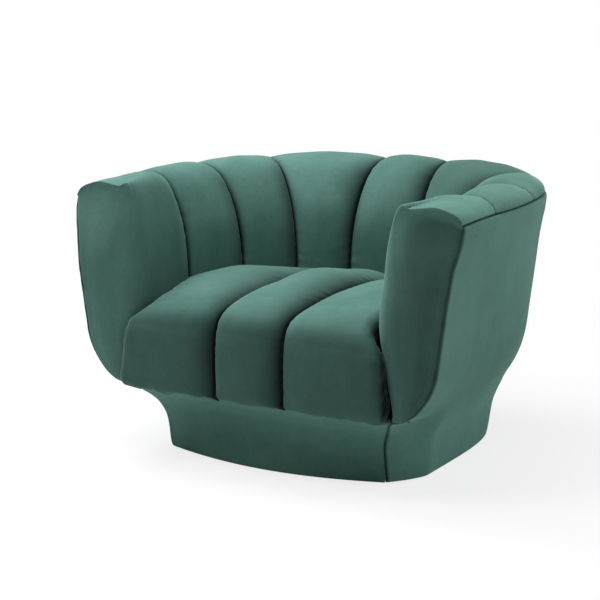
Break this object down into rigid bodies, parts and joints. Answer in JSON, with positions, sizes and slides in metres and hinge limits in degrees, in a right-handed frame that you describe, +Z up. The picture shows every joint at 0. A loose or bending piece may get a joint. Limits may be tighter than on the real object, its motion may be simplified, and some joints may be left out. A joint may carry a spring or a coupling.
{
  "type": "club chair",
  "caption": "Wrap-round channel-tufted velvet club chair with a low curved back, a fixed channelled seat and a recessed upholstered plinth.",
  "frame": {"origin": "centre of the bounding box at floor level, under the faces of the glides", "axes": "+X across the chair to the left hand of a viewer behind it, -Y is the way the seat faces, +Z up"},
  "size_m": [1.058, 0.9177, 0.6835],
  "materials": {
    "velvet_channels": "short-pile velvet with a clear nap",
    "velvet_panels": "short-pile velvet, pulled smooth",
    "foam": "open-cell foam",
    "lining_cloth": "woven backing cloth",
    "dust_cloth": "non-woven cloth",
    "plywood": "raw birch plywood",
    "hardwood": "planed hardwood",
    "steel": "zinc-plated steel",
    "glide_plastic": "moulded plastic"
  },
  "bodies": {
    "root": {"channel_left_front": "velvet_channels", "channel_left_side": "velvet_channels", "channel_left_rear": "velvet_channels", "channel_left_corner": "velvet_channels", "channel_back": "velvet_channels", "channel_right_corner": "velvet_channels", "channel_right_rear": "velvet_channels", "channel_right_side": "velvet_channels", "channel_right_front": "velvet_channels", "seat_channel_left": "velvet_channels", "seat_channel_centre": "velvet_channels", "seat_channel_right": "velvet_channels", "seat_foam_core": "foam", "outer_panel_left": "velvet_panels", "outer_panel_right": "velvet_panels", "outer_panel_back": "velvet_panels", "base_front_panel": "velvet_panels", "wall_lining": "lining_cloth", "top_rail": "plywood", "arm_front_left": "plywood", "arm_front_right": "plywood", "wall_ribs": "plywood", "seat_platform": "plywood", "plinth_top_ring": "plywood", "plinth_bottom_ring": "plywood", "plinth_posts": "plywood", "seat_front_board": "hardwood", "seat_front_rail": "hardwood", "seat_back_rail": "hardwood", "seat_side_rails": "hardwood", "seat_posts": "plywood", "corner_blocks": "plywood", "seat_springs": "steel", "spring_clips": "steel", "deck_cloth": "lining_cloth", "frame_bolts": "steel", "bolt_washers": "steel", "bolt_nuts": "steel", "rail_screws": "steel", "dust_cover": "dust_cloth", "floor_glides": "glide_plastic"}
  },
  "joints": []
}
